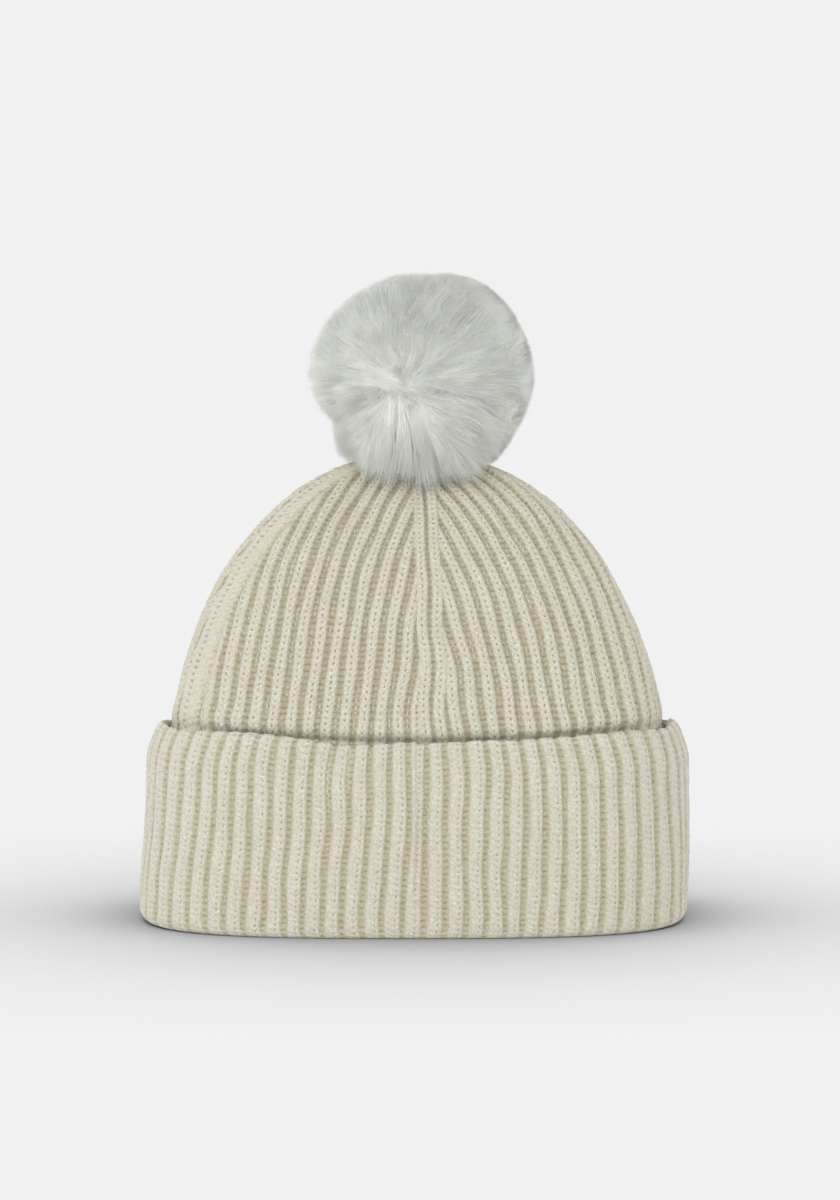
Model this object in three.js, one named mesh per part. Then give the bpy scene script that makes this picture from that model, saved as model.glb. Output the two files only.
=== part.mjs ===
// Pom pom beanie: a rib-knit crown over a turned-up cuff, with a faux-fur pom on a press stud.
// Millimetres, +Z up. The origin is the centre of the cuff's base, and the front faces -Y.
import * as THREE from "three";

// Driving dimensions: the knit.
const crownHalfWidth = 105;
const crownHalfDepth = 79;
const crownHeight = 195;
const wallHeight = 53; // the body is a straight wall up to here, and a dome above
const domeFullness = 0.95;
const knitThickness = 3.2;
const ovalPower = 3; // 2 is an ellipse, and more is squarer
const cuffHalfWidth = 115;
const cuffHeight = 80;
const cuffThickness = 4;
const cuffFlattening = 0.6; // how much the half-depth grows for each mm of half-width
const foldHeight = 4; // top of the fabric at the fold, under the body's wall
const gap = 0.3;

// Driving dimensions: the pom.
const pomCentre = crownHeight + 33;
const pomHalfWidth = 48;
const pomHalfHeight = 44.5;
const pomBase = crownHeight + 6;
const pomMouth = 16;
const sackCentre = pomCentre + 1;
const sackRadius = 22.3;
const sackThickness = 1.7;
const sackMouth = 8;
const stuffingBase = sackCentre - 18.5;
const neck = { radius: 5.5, tube: 1, height: crownHeight + 12.5 };

// Driving dimensions: the press stud and what it holds, from the inside of the crown to the pom.
// Each height is above the top of the crown.
const postWasher = { radius: 6.5, base: -7.8, thickness: 1.2 };
const postShank = { radius: 1.4, top: 2.6 };
const knitHole = 3.4;
const patch = { radius: 11, hole: 3, base: -6.3, thickness: 1.5 };
const gatherYarn = { radius: 6.9, tube: 0.8, height: 1.1 };
const stud = { flange: 5, base: 0.3, flangeTop: 1.1, neck: 2.1, bulb: 2.5, top: 4.4 };
const studBore = { radius: 1.7, top: 2.9 };
const socket = { radius: 6.5, base: 2.2, top: 5.6, lip: 2.8, groove: 4.2, hole: 1.9 };
const spring = { radius: 3.5, tube: 0.35, height: 3.5 };
const baseDisc = { radius: 12, hole: 1.9, base: 5.9, thickness: 1.6 };
const cap = { radius: 7, base: 7.8, top: 9, shank: 1.5, shankBase: 5 };

// Driving dimensions: the seam and the label inside the back.
const seam = { halfWidth: 2.5, halfThickness: 1, base: 7, lastAngle: 78 };
const label = { width: 22, thickness: 0.6, height: 38, base: 12, behind: 3.1 };

const knit = { color: 0xdbd6c5, roughness: 0.95, metalness: 0 };
const fur = { color: 0xd2d5d0, roughness: 0.9, metalness: 0 };
const felt = { color: 0xd8d3c2, roughness: 1, metalness: 0 };
const thread = { color: 0xe2decf, roughness: 0.9, metalness: 0 };
const nickel = { color: 0xb8b8b4, roughness: 0.3, metalness: 1 };
const plastic = { color: 0xe6e6e2, roughness: 0.5, metalness: 0 };
const satin = { color: 0xf2f0ea, roughness: 0.6, metalness: 0 };

const beanie = new THREE.Group();

// The pieces of the stud hang on the top of the crown.
const studStack = new THREE.Group();
studStack.position.z = crownHeight;
beanie.add(studStack);

function addPart(name, geometry, finish, group = beanie) {
  const mesh = new THREE.Mesh(geometry, new THREE.MeshStandardMaterial(finish));
  mesh.name = name;
  group.add(mesh);
}

function radians(degrees) {
  return (degrees * Math.PI) / 180;
}

// A turned solid about Z. The profile's points are [radius, height], going up on the outside.
function turned(profile, steps) {
  const points = profile.map(([radius, height]) => new THREE.Vector2(radius, height));
  return new THREE.LatheGeometry(points, steps).rotateX(Math.PI / 2);
}

function ovalPart(value) {
  return Math.sign(value) * Math.abs(value) ** (2 / ovalPower);
}

// A tube of oval section. Each row is [half-width, half-depth, height], in a loop that goes up
// on the outside and down on the inside.
function ovalTube(rows, steps = 56) {
  const loop = [...rows, rows[0]];
  const geometry = turned(loop.map(([halfWidth, , height]) => [halfWidth, height]), steps);
  const position = geometry.getAttribute("position");
  for (let step = 0; step <= steps; step++) {
    const angle = (2 * Math.PI * (step % steps)) / steps;
    loop.forEach(([halfWidth, halfDepth, height], row) => {
      const x = halfWidth * ovalPart(Math.sin(angle));
      const y = -halfDepth * ovalPart(Math.cos(angle));
      position.setXYZ(step * loop.length + row, x, y, height);
    });
  }
  geometry.computeVertexNormals();
  return geometry;
}

// One row of the crown's dome, at an angle above the wall and an inset from the outer face.
function domeRow(angle, inset) {
  const spread = Math.cos(radians(angle)) ** domeFullness;
  const rise = Math.sin(radians(angle));
  return [
    (crownHalfWidth - inset) * spread,
    (crownHalfDepth - inset) * spread,
    wallHeight + (crownHeight - wallHeight - inset) * rise,
  ];
}

function domeRows(inset) {
  const angles = [0, 10, 20, 30, 38, 46, 54, 61, 68, 74, 79, 83, 86];
  return angles.map((angle) => domeRow(angle, inset));
}

// The body and crown, one knitted tube with a small hole at the top for the stud's post.
function crownShell() {
  const foot = foldHeight + gap;
  const outerFoot = [crownHalfWidth, crownHalfDepth, foot];
  const innerFoot = [crownHalfWidth - knitThickness, crownHalfDepth - knitThickness, foot];
  const outerRim = [knitHole, knitHole, crownHeight];
  const innerRim = [knitHole, knitHole, crownHeight - knitThickness];
  return ovalTube([
    outerFoot,
    ...domeRows(0),
    outerRim,
    innerRim,
    ...domeRows(knitThickness).reverse(),
    innerFoot,
  ]);
}

function cuffRow([halfWidth, height]) {
  const halfDepth = crownHalfDepth + (halfWidth - crownHalfWidth) * cuffFlattening;
  return [halfWidth, halfDepth, height];
}

// The cuff turns outward and up from the fold, which is flat where the hat stands on it.
function turnUpCuff() {
  const outer = cuffHalfWidth;
  const inner = cuffHalfWidth - cuffThickness;
  const flush = crownHalfWidth - knitThickness;
  const section = [
    [flush + 2, 0],
    [outer - 4, 0],
    [outer - 1.3, 1.5],
    [outer, 5],
    [outer, cuffHeight / 2],
    [outer, cuffHeight - 4],
    [outer - 0.7, cuffHeight - 1.2],
    [outer - 2, cuffHeight],
    [inner + 0.6, cuffHeight - 1.2],
    [inner, cuffHeight - 4],
    [inner - 0.5, foldHeight + 5],
    [inner - 1.5, foldHeight + 1],
    [inner - 3.5, foldHeight],
    [flush, foldHeight],
    [flush, 2],
  ];
  return ovalTube(section.map(cuffRow));
}

// The linked seam down the centre back, on the inside of the body.
function backSeam() {
  const inset = knitThickness + gap + seam.halfThickness + 0.1;
  const foot = new THREE.Vector3(0, crownHalfDepth - inset, seam.base);
  const points = [foot];
  for (let angle = 0; angle <= seam.lastAngle; angle += seam.lastAngle / 8) {
    const [, halfDepth, height] = domeRow(angle, inset);
    points.push(new THREE.Vector3(0, halfDepth, height));
  }
  const section = new THREE.Shape();
  section.absellipse(0, 0, seam.halfWidth, seam.halfThickness, 0, 2 * Math.PI);
  return new THREE.ExtrudeGeometry(section, {
    steps: 24,
    curveSegments: 3,
    bevelEnabled: false,
    extrudePath: new THREE.CatmullRomCurve3(points, false, "centripetal"),
  });
}

// A flat washer, from its radius, hole, base and thickness.
function ring({ radius, hole, base, thickness }) {
  return turned(
    [
      [hole, base],
      [radius, base],
      [radius, base + thickness],
      [hole, base + thickness],
      [hole, base],
    ],
    28,
  );
}

function torus({ radius, tube, height }) {
  return new THREE.TorusGeometry(radius, tube, 8, 24).translate(0, 0, height);
}

function snapPost() {
  const washerTop = postWasher.base + postWasher.thickness;
  return turned(
    [
      [0, postWasher.base],
      [postWasher.radius, postWasher.base],
      [postWasher.radius, washerTop],
      [postShank.radius, washerTop],
      [postShank.radius, postShank.top],
      [0, postShank.top],
    ],
    24,
  );
}

function snapStud() {
  const bulbHeight = stud.top - 0.8;
  return turned(
    [
      [0, studBore.top],
      [studBore.radius, studBore.top],
      [studBore.radius, stud.base],
      [stud.flange, stud.base],
      [stud.flange, stud.flangeTop],
      [stud.neck, stud.flangeTop],
      [stud.neck, bulbHeight - 1],
      [stud.bulb, bulbHeight],
      [stud.neck, stud.top],
      [0, stud.top],
    ],
    24,
  );
}

function snapSocket() {
  const lipTop = socket.base + 0.6;
  const webBase = socket.top - 0.7;
  const grooveTop = webBase - 0.7;
  return turned(
    [
      [socket.lip, lipTop],
      [socket.lip, socket.base],
      [socket.radius, socket.base],
      [socket.radius, socket.top],
      [socket.hole, socket.top],
      [socket.hole, webBase],
      [socket.groove, grooveTop],
      [socket.groove, lipTop],
      [socket.lip, lipTop],
    ],
    28,
  );
}

function snapCap() {
  return turned(
    [
      [0, cap.shankBase],
      [cap.shank, cap.shankBase],
      [cap.shank, cap.base],
      [cap.radius, cap.base],
      [cap.radius, cap.top],
      [0, cap.top],
    ],
    28,
  );
}

// Points on an upright ellipse, from one angle to another, in degrees above its centre.
function arc(centre, halfWidth, halfHeight, from, to, count) {
  const points = [];
  for (let step = 0; step <= count; step++) {
    const angle = radians(from + ((to - from) * step) / count);
    points.push([halfWidth * Math.cos(angle), centre + halfHeight * Math.sin(angle)]);
  }
  return points;
}

// The angle where a ball of that radius is cut by a round mouth, in degrees below its centre.
function mouthAngle(radius, mouth) {
  return (-Math.acos(mouth / radius) * 180) / Math.PI;
}

// The same points, with the one at that index moved exactly onto the axis.
function onAxis(points, index) {
  points[index][0] = 0;
  return points;
}

// The pile: a ball that is flat underneath, hollow for the sack, with a mouth round the socket.
function pomFur() {
  const hollow = sackRadius + gap;
  const cutAngle = (Math.asin((pomBase - pomCentre) / pomHalfHeight) * 180) / Math.PI;
  const inside = arc(sackCentre, hollow, hollow, 90, mouthAngle(hollow, pomMouth), 10);
  const outside = arc(pomCentre, pomHalfWidth, pomHalfHeight, cutAngle, 90, 14);
  return turned([...onAxis(inside, 0), [pomMouth, pomBase], ...onAxis(outside, 14)], 40);
}

function pomBacking() {
  const inner = sackRadius - sackThickness;
  const inside = arc(sackCentre, inner, inner, 90, mouthAngle(inner, sackMouth), 10);
  const outside = arc(sackCentre, sackRadius, sackRadius, mouthAngle(sackRadius, sackMouth), 90, 10);
  return turned([...onAxis(inside, 0), ...onAxis(outside, 10)], 32);
}

function pomStuffing() {
  const radius = sackRadius - sackThickness - gap;
  const cutAngle = (Math.asin((stuffingBase - sackCentre) / radius) * 180) / Math.PI;
  const outside = arc(sackCentre, radius, radius, cutAngle, 90, 10);
  return turned([[0, stuffingBase], ...onAxis(outside, 10)], 28);
}

// A blank woven label, on the inner face of the back seam.
function careLabel() {
  return new THREE.BoxGeometry(label.width, label.thickness, label.height).translate(
    0,
    crownHalfDepth - knitThickness - label.behind,
    label.base + label.height / 2,
  );
}

addPart("crown_shell", crownShell(), knit);
addPart("turn_up_cuff", turnUpCuff(), knit);
addPart("back_seam", backSeam(), thread);
addPart("care_label", careLabel(), satin);
addPart("crown_gather_yarn", torus(gatherYarn), thread, studStack);
addPart("crown_patch", ring(patch), felt, studStack);
addPart("snap_post", snapPost(), nickel, studStack);
addPart("snap_stud", snapStud(), nickel, studStack);
addPart("snap_socket", snapSocket(), nickel, studStack);
addPart("snap_spring", torus(spring), nickel, studStack);
addPart("pom_base_disc", ring(baseDisc), plastic, studStack);
addPart("snap_cap", snapCap(), nickel, studStack);
addPart("pom_gather_thread", torus(neck), thread);
addPart("pom_backing", pomBacking(), felt);
addPart("pom_stuffing", pomStuffing(), felt);
addPart("pom_fur", pomFur(), fur);

export default beanie;
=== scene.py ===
"""Pom pom beanie: the finished hat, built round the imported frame. Metres, +Z up, front towards -Y."""
import math

import bmesh
import bpy
import numpy as np
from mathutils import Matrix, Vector
from mathutils.kdtree import KDTree


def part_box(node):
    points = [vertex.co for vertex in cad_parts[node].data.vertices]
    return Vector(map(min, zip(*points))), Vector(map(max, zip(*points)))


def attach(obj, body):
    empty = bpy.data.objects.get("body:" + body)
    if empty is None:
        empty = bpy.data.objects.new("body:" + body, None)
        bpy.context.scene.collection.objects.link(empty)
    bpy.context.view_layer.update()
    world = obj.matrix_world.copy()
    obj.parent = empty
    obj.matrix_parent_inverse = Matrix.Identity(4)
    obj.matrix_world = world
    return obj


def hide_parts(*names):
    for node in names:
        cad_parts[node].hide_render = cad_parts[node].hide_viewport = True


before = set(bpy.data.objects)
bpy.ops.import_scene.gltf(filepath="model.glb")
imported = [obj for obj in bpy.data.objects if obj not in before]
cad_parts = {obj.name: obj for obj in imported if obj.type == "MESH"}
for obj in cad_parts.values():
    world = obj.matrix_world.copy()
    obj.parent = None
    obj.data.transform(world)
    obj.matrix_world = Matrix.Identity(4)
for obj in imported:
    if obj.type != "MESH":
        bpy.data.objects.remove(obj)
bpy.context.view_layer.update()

MM = 0.001

crown_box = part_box("crown_shell")
cuff_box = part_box("turn_up_cuff")
fur_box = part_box("pom_fur")
backing_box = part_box("pom_backing")
label_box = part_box("care_label")
seam_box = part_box("back_seam")

# The hat's plan is an oval between an ellipse (2) and a box.
OVAL_POWER = 3
CROWN_WIDTH = crown_box[1].x
CROWN_DEPTH = crown_box[1].y
CROWN_TOP = crown_box[1].z
CROWN_FOOT = crown_box[0].z
WALL_TOP = 53 * MM
DOME_FULLNESS = 0.95
KNIT_THICKNESS = 3.2 * MM
KNIT_HOLE = 3.4 * MM
CUFF_WIDTH = cuff_box[1].x
CUFF_TOP = cuff_box[1].z
CUFF_THICKNESS = 4 * MM
CUFF_FLATTENING = 0.6

# The knit: ribs round the hat, and stitch rows up it.
RIBS = 76
CROWN_ROW = 2.65 * MM
CUFF_ROW = 2.45 * MM
COLUMNS_PER_RIB = 12
CORNER_STRETCH = 0.5
EDGE_RIB = 0.42  # how far a gore's edge rib runs from the decrease line, in ribs
# The decrease lines, in ribs from the front centre towards +X: front, right, back and left.
GORE_LINES = (0.9, 19.0, 38.0, 62.4)

# The pom.
POM_CENTRE = Vector((1.7 * MM, 0, (fur_box[0].z + fur_box[1].z) / 2 - 8.75 * MM))
SACK_RADIUS = (backing_box[1].x - backing_box[0].x) / 2
SACK_CENTRE_Z = backing_box[1].z - SACK_RADIUS

BAKE_LAYER = "OFBake"  # a UV layer of this name, which the fur's colours read and which lays each knit piece out on one sheet
KNIT_LAYER = "knit"

scene = bpy.context.scene


# ---------------------------------------------------------------- shapes

def smooth_step(low, high, value):
    share = np.clip((value - low) / (high - low), 0, 1)
    return share * share * (3 - 2 * share)


def soft_noise(across, up, seed, waves=9):
    """Smooth unevenness of about -1 to 1, with bumps about one unit of across and up in size."""
    draw = np.random.default_rng(seed)
    total = np.zeros(np.broadcast(across, up).shape)
    for _ in range(waves):
        turn, shift = draw.uniform(0, 2 * math.pi, 2)
        pitch = draw.uniform(0.5, 1.3)
        run = across * math.cos(turn) + up * math.sin(turn)
        total += np.sin(2 * math.pi * pitch * run + shift)
    return total / math.sqrt(waves)


def make_piece(name, points, faces, material, layers=None, smooth=True):
    """A mesh piece. faces is a list of corner arrays, each with one row per face."""
    mesh = bpy.data.meshes.new(name)
    mesh.vertices.add(len(points))
    mesh.vertices.foreach_set("co", np.asarray(points, dtype=np.float32).ravel())
    corners = np.concatenate([part.ravel() for part in faces]).astype(np.int32)
    sizes = np.concatenate([np.full(len(part), part.shape[1]) for part in faces])
    starts = np.concatenate([[0], np.cumsum(sizes)[:-1]]).astype(np.int32)
    mesh.loops.add(len(corners))
    mesh.loops.foreach_set("vertex_index", corners)
    mesh.polygons.add(len(sizes))
    mesh.polygons.foreach_set("loop_start", starts)
    for layer, places in (layers or {}).items():
        mesh.uv_layers.new(name=layer)
        flat = np.asarray(places, dtype=np.float32).ravel()
        mesh.uv_layers[layer].data.foreach_set("uv", flat)
    mesh.update(calc_edges=True)
    if smooth:
        mesh.shade_smooth()
    mesh.materials.append(material)
    piece = bpy.data.objects.new(name, mesh)
    scene.collection.objects.link(piece)
    return piece


def settle(piece, body, slot, *nodes):
    """The piece rides on a body and stands for its CAD nodes, which it hides. The slot is not used."""
    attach(piece, body)
    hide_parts(*nodes)
    return piece


def grid_faces(rows, columns):
    """Corners of each face of a grid of points. They turn so that rows go up on the outside."""
    row, column = np.meshgrid(np.arange(rows - 1), np.arange(columns - 1), indexing="ij")
    first = (row * columns + column).ravel()
    return np.stack([first, first + 1, first + columns + 1, first + columns], axis=1)


def at_corners(values):
    """Values on a grid of points, as one set of four corners for each face."""
    low_left, low_right = values[:-1, :-1], values[:-1, 1:]
    high_left, high_right = values[1:, :-1], values[1:, 1:]
    corners = np.stack([low_left, low_right, high_right, high_left], axis=2)
    return corners.reshape(-1, 4, *values.shape[2:])


def close_ring(values):
    """Repeats the first column after the last, so that the rings close."""
    return np.concatenate([values, values[:, :1]], axis=1)


def ring_normals(points):
    """Outward normals of rows of points that close into rings."""
    along = np.roll(points, -1, axis=1) - np.roll(points, 1, axis=1)
    up = np.gradient(points, axis=0)
    normals = np.cross(along, up)
    return normals / np.maximum(np.linalg.norm(normals, axis=2, keepdims=True), 1e-12)


def oval_point(angle, half_width, half_depth):
    """A point on the hat's oval plan. The angle starts at the front and turns towards +X."""
    power = 2 / OVAL_POWER
    sine, cosine = np.sin(angle), np.cos(angle)
    x = half_width * np.sign(sine) * np.abs(sine) ** power
    y = -half_depth * np.sign(cosine) * np.abs(cosine) ** power
    return x, y


def even_angles(fractions, half_width, half_depth):
    """Angles at these shares of the ribs round an oval.

    The knit is stretched across the four rounded corners, so its ribs are wider there.
    """
    angle = np.linspace(0, 2 * math.pi, 40001)
    x, y = oval_point(angle, half_width, half_depth)
    step = np.hypot(np.diff(x), np.diff(y))
    facing = np.abs(np.diff(x)) / step
    stretch = 1 + CORNER_STRETCH * np.sin(math.pi * facing) ** 2
    run = np.concatenate([[0], np.cumsum(step / stretch)])
    return np.interp(fractions, run / run[-1], angle)


def even_steps(path, spacing):
    """Points along a path of [out, up] points. spacing gives the step at each point of the path."""
    run = np.concatenate([[0], np.cumsum(np.hypot(*np.diff(path, axis=0).T))])
    steps = np.concatenate([[0], np.cumsum(np.diff(run) / spacing[1:])])
    wanted = np.linspace(0, steps[-1], int(round(steps[-1])) + 1)
    place = np.interp(wanted, steps, run)
    out = np.interp(place, run, path[:, 0])
    up = np.interp(place, run, path[:, 1])
    return np.stack([out, up], axis=1), place


def tube_grid(path, radius, sides=10, closed=False):
    """Points round a path, one ring for each point of it."""
    path = np.asarray(path, dtype=float)
    if closed:
        ahead = np.roll(path, -1, axis=0) - np.roll(path, 1, axis=0)
    else:
        ahead = np.gradient(path, axis=0)
    ahead /= np.linalg.norm(ahead, axis=1, keepdims=True)
    side = np.cross(ahead[0], (0.31, 0.17, 0.93))
    sideways = []
    for direction in ahead:
        side = side - direction * np.dot(side, direction)
        side /= np.linalg.norm(side)
        sideways.append(side)
    sideways = np.array(sideways)
    upwards = np.cross(ahead, sideways)
    turn = np.linspace(0, 2 * math.pi, sides, endpoint=False)
    radius = np.broadcast_to(radius, len(path))[:, None, None]
    ring = np.cos(turn)[None, :, None] * sideways[:, None] + np.sin(turn)[None, :, None] * upwards[:, None]
    return path[:, None] + radius * ring


def tubes(name, paths, radius, material, sides=10, closed=False):
    """One piece made of round tubes along these paths."""
    points, faces, count = [], [], 0
    for path in paths:
        grid = tube_grid(path, radius, sides, closed)
        rows = len(grid)
        row = np.arange(rows if closed else rows - 1)
        row, side = [part.ravel() for part in np.meshgrid(row, np.arange(sides), indexing="ij")]
        following, beside = (row + 1) % rows, (side + 1) % sides
        quads = [row * sides + side, row * sides + beside,
                 following * sides + beside, following * sides + side]
        faces.append(np.stack(quads, axis=1) + count)
        if not closed:
            ends = np.arange(sides)
            faces.append((ends[::-1] + count)[None])
            faces.append((ends + (rows - 1) * sides + count)[None])
        points.append(grid.reshape(-1, 3))
        count += rows * sides
    return make_piece(name, np.concatenate(points), faces, material)


def turned(name, outline, material, steps=72, round_over=0.15 * MM):
    """A turned piece from [radius, height over the crown's top] in mm, going up on the outside."""
    outline = np.array(outline) * MM
    turn = np.linspace(0, 2 * math.pi, steps + 1)
    x = outline[:, :1] * np.sin(turn)
    y = -outline[:, :1] * np.cos(turn)
    z = np.broadcast_to(outline[:, 1:], x.shape) + CROWN_TOP
    points = np.stack([x, y, z], axis=2)
    piece = make_piece(name, points.reshape(-1, 3), [grid_faces(*x.shape)], material)
    shape = bmesh.new()
    shape.from_mesh(piece.data)
    bmesh.ops.remove_doubles(shape, verts=shape.verts, dist=1e-7)
    bmesh.ops.dissolve_degenerate(shape, edges=shape.edges, dist=1e-7)
    shape.to_mesh(piece.data)
    shape.free()
    rounding = piece.modifiers.new("rounded edges", "BEVEL")
    rounding.width = round_over
    rounding.segments = 3
    rounding.limit_method = "ANGLE"
    rounding.angle_limit = math.radians(28)
    rounding.harden_normals = True
    return piece


# ---------------------------------------------------------------- shader nodes

class Graph:
    """Adds nodes to one node tree. Each call gives the new node's first output."""

    def __init__(self, tree):
        self.tree = tree

    def feed(self, socket, value):
        if isinstance(value, bpy.types.NodeSocket):
            self.tree.links.new(value, socket)
        elif value is not None:
            socket.default_value = value

    def node(self, kind, *inputs, **settings):
        made = self.tree.nodes.new(kind)
        for key, value in settings.items():
            setattr(made, key, value)
        for socket, value in zip(made.inputs, inputs):
            self.feed(socket, value)
        return made

    def math(self, operation, first, second=None, third=None):
        return self.node("ShaderNodeMath", first, second, third, operation=operation).outputs[0]

    def fade(self, value, low, high, start=0.0, end=1.0):
        made = self.node("ShaderNodeMapRange", value, low, high, start, end)
        made.interpolation_type = "SMOOTHSTEP"
        return made.outputs[0]

    def mix(self, share, first, second, blend="MIX"):
        made = self.tree.nodes.new("ShaderNodeMix")
        made.data_type = "RGBA"
        made.blend_type = blend
        self.feed(made.inputs[0], share)
        self.feed(made.inputs[6], first)
        self.feed(made.inputs[7], second)
        return made.outputs[2]

    def noise(self, place, scale, detail=2.0, roughness=0.5):
        made = self.tree.nodes.new("ShaderNodeTexNoise")
        self.feed(made.inputs["Vector"], place)
        self.feed(made.inputs["Scale"], scale)
        self.feed(made.inputs["Detail"], detail)
        self.feed(made.inputs["Roughness"], roughness)
        return made.outputs["Fac"]

    def group(self, tree, **inputs):
        made = self.tree.nodes.new("ShaderNodeGroup")
        made.node_tree = tree
        for name, value in inputs.items():
            self.feed(made.inputs[name.replace("_", " ")], value)
        return made.outputs


def new_group(name, inputs, outputs):
    """A shader node group with float sockets, or colours and vectors where their type says so."""
    tree = bpy.data.node_groups.new(name, "ShaderNodeTree")
    for direction, sockets in (("INPUT", inputs), ("OUTPUT", outputs)):
        for socket, kind, start in sockets:
            made = tree.interface.new_socket(name=socket, in_out=direction, socket_type=kind)
            if start is not None:
                made.default_value = start
    entry = tree.nodes.new("NodeGroupInput")
    leaving = tree.nodes.new("NodeGroupOutput")
    return Graph(tree), entry.outputs, leaving.inputs


FLOAT = "NodeSocketFloat"
COLOUR = "NodeSocketColor"
VECTOR = "NodeSocketVector"


def rib_stitches():
    """Where a point lies on a rib and its stitches, from the rib count across and the row count up."""
    graph, taken, given = new_group(
        "rib stitches",
        [
            ("Across", FLOAT, 0.0),
            ("Up", FLOAT, 0.0),
            ("Left edge", FLOAT, -0.32),
            ("Right edge", FLOAT, 0.32),
            ("Softness", FLOAT, 0.06),
            ("Leg slant", FLOAT, 2.3),
            ("Dot place", FLOAT, 0.0),
            ("Dot width", FLOAT, 0.06),
            ("Rung width", FLOAT, 0.2),
        ],
        [
            ("Ridge", FLOAT, None),
            ("Leg gap", FLOAT, None),
            ("Leg height", FLOAT, None),
            ("Dot", FLOAT, None),
            ("Rung", FLOAT, None),
            ("Edge line", FLOAT, None),
        ],
    )
    whole = graph.math("ROUND", taken["Across"])
    place = graph.math("SUBTRACT", taken["Across"], whole)
    step = graph.math("FRACT", taken["Up"])
    from_step = graph.math("ABSOLUTE", graph.math("SUBTRACT", step, 0.5))
    scallop = graph.math("MULTIPLY_ADD", from_step, 0.09, -0.02)
    left_edge = graph.math("ADD", taken["Left edge"], scallop)
    right_edge = graph.math("SUBTRACT", taken["Right edge"], scallop)
    width = taken["Softness"]
    left = graph.fade(place, graph.math("SUBTRACT", left_edge, width), graph.math("ADD", left_edge, width))
    right = graph.fade(place, graph.math("SUBTRACT", right_edge, width), graph.math("ADD", right_edge, width),
                       1.0, 0.0)
    ridge = graph.math("MULTIPLY", left, right)

    from_middle = graph.math("ABSOLUTE", graph.math("SUBTRACT", place, taken["Dot place"]))
    slanted = graph.math("MULTIPLY", from_middle, taken["Leg slant"])
    leg = graph.math("FRACT", graph.math("SUBTRACT", taken["Up"], slanted))
    from_gap = graph.math("ABSOLUTE", graph.math("SUBTRACT", leg, 0.5))
    leg_gap = graph.math("MULTIPLY", graph.fade(from_gap, 0.24, 0.5), ridge)
    leg_height = graph.math("MULTIPLY", graph.fade(from_gap, 0.5, 0.1), ridge)

    in_line = graph.fade(from_middle, 0.0, taken["Dot width"], 1.0, 0.0)
    in_step = graph.fade(from_step, 0.2, 0.42)
    dot = graph.math("MULTIPLY", in_line, in_step)

    rung = graph.fade(from_step, 0.16, 0.44)
    groove = graph.math("SUBTRACT", 1.0, ridge)
    from_groove = graph.math("SUBTRACT", 0.5, graph.math("ABSOLUTE", place))
    in_groove = graph.fade(from_groove, graph.math("MULTIPLY", taken["Rung width"], 0.3), taken["Rung width"],
                           1.0, 0.0)
    rung = graph.math("MULTIPLY", graph.math("MULTIPLY", rung, groove), in_groove)

    from_edge = graph.math("ABSOLUTE", graph.math("SUBTRACT", place, taken["Right edge"]))
    edge_line = graph.fade(from_edge, 0.0, 0.09, 1.0, 0.0)
    for name, value in (("Ridge", ridge), ("Leg gap", leg_gap), ("Leg height", leg_height), ("Dot", dot),
                        ("Rung", rung), ("Edge line", edge_line)):
        graph.feed(given[name], value)
    return graph.tree


def yarn_fibres():
    """Fine fibres and slow drift of spun yarn, from a place in metres."""
    graph, taken, given = new_group(
        "yarn fibres",
        [("Place", VECTOR, None), ("Fineness", FLOAT, 1.0)],
        [("Fibre", FLOAT, None), ("Drift", FLOAT, None), ("Fleck", FLOAT, None), ("Height", FLOAT, None)],
    )
    fine = graph.math("MULTIPLY", taken["Fineness"], 2600.0)
    medium = graph.math("MULTIPLY", taken["Fineness"], 1150.0)
    fibre = graph.noise(taken["Place"], fine, 3.0, 0.6)
    fleck = graph.noise(taken["Place"], medium, 2.0, 0.55)
    drift = graph.noise(taken["Place"], 55.0, 2.0)
    height = graph.math("ADD", graph.math("MULTIPLY", fibre, 0.6), graph.math("MULTIPLY", fleck, 0.4))
    for name, value in (("Fibre", fibre), ("Drift", drift), ("Fleck", fleck), ("Height", height)):
        graph.feed(given[name], value)
    return graph.tree


def plated_marks():
    """Fine turning marks and scuffs of a small plated part, from a place in metres."""
    graph, taken, given = new_group(
        "plated marks",
        [("Place", VECTOR, None), ("Amount", FLOAT, 1.0)],
        [("Roughness", FLOAT, None), ("Tone", FLOAT, None), ("Height", FLOAT, None)],
    )
    scuff = graph.noise(taken["Place"], 900.0, 4.0, 0.65)
    stain = graph.noise(taken["Place"], 260.0, 2.0)
    scuff = graph.math("MULTIPLY", scuff, taken["Amount"])
    roughness = graph.math("MULTIPLY_ADD", scuff, 0.28, 0.16)
    tone = graph.fade(stain, 0.3, 0.75, 0.82, 1.05)
    for name, value in (("Roughness", roughness), ("Tone", tone), ("Height", scuff)):
        graph.feed(given[name], value)
    return graph.tree


RIB_STITCHES = rib_stitches()
YARN_FIBRES = yarn_fibres()
PLATED_MARKS = plated_marks()


def new_material(name, **fixed):
    """A material with a Principled BSDF, and the values that are the same all over it."""
    material = bpy.data.materials.new(name)
    material.use_nodes = True
    graph = Graph(material.node_tree)
    shader = material.node_tree.nodes["Principled BSDF"]
    for socket, value in fixed.items():
        shader.inputs[socket.replace("_", " ")].default_value = value
    return material, graph, shader.inputs


def object_place(graph):
    return graph.tree.nodes.new("ShaderNodeTexCoord").outputs["Object"]


def tone(red, green, blue):
    return (red, green, blue, 1.0)


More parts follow.
